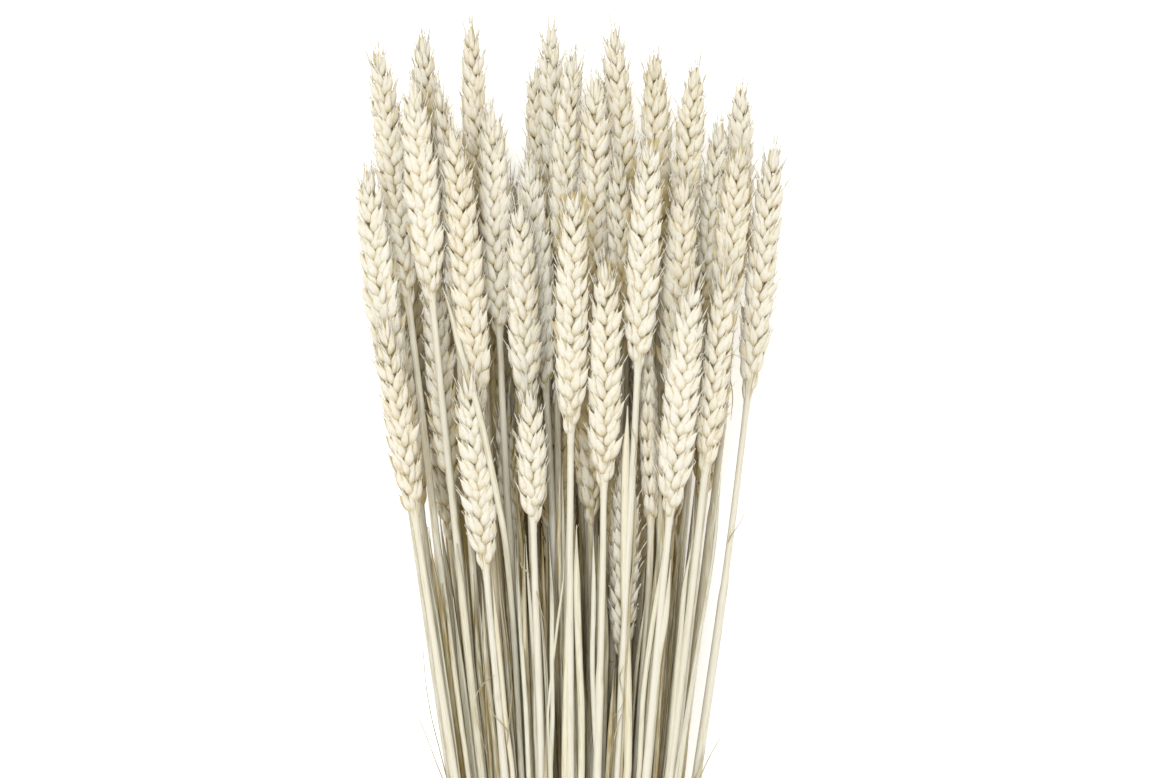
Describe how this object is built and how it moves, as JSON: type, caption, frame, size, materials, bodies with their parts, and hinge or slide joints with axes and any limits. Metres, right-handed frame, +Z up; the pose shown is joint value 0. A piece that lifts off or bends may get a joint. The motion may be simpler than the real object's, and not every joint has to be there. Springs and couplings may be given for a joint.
{
  "type": "bundle of dried wheat",
  "caption": "Fan-shaped bundle of dried wheat stalks with braided ears, tied low on the stems with twine, lying on its side.",
  "frame": {"origin": "middle of the bundle's bounding box, on the surface it lies on", "axes": "+Y along the stems towards the ears, +X across the fan, +Z up from the surface"},
  "size_m": [0.1624, 0.5922, 0.0573],
  "materials": {
    "straw": "dry bleached straw, matt with a faint silky sheen along the stems",
    "twine": "natural jute twine, matt and slightly hairy"
  },
  "bodies": {
    "root": {"stalk_01": "straw", "stalk_02": "straw", "stalk_03": "straw", "stalk_04": "straw", "stalk_05": "straw", "stalk_06": "straw", "stalk_07": "straw", "stalk_08": "straw", "stalk_09": "straw", "stalk_10": "straw", "stalk_11": "straw", "stalk_12": "straw", "stalk_13": "straw", "stalk_14": "straw", "stalk_15": "straw", "stalk_16": "straw", "stalk_17": "straw", "stalk_18": "straw", "stalk_19": "straw", "stalk_20": "straw", "stalk_21": "straw", "stalk_22": "straw", "stalk_23": "straw", "stalk_24": "straw", "stalk_25": "straw", "stalk_26": "straw", "stalk_27": "straw", "stalk_28": "straw", "stalk_29": "straw", "stalk_30": "straw", "stalk_31": "straw", "stalk_32": "straw", "stalk_33": "straw", "stalk_34": "straw", "stalk_35": "straw", "stalk_36": "straw", "stalk_37": "straw", "stalk_38": "straw", "stalk_39": "straw", "stalk_40": "straw", "stalk_41": "straw", "stalk_42": "straw", "stalk_43": "straw", "stalk_44": "straw", "stalk_45": "straw", "stalk_46": "straw", "stalk_47": "straw", "stalk_48": "straw", "stalk_49": "straw", "stalk_50": "straw", "stalk_51": "straw", "stalk_52": "straw", "stalk_53": "straw", "stalk_54": "straw", "stalk_55": "straw", "stalk_56": "straw", "stalk_57": "straw", "stalk_58": "straw", "stalk_59": "straw", "twine_tie": "twine"}
  },
  "joints": []
}
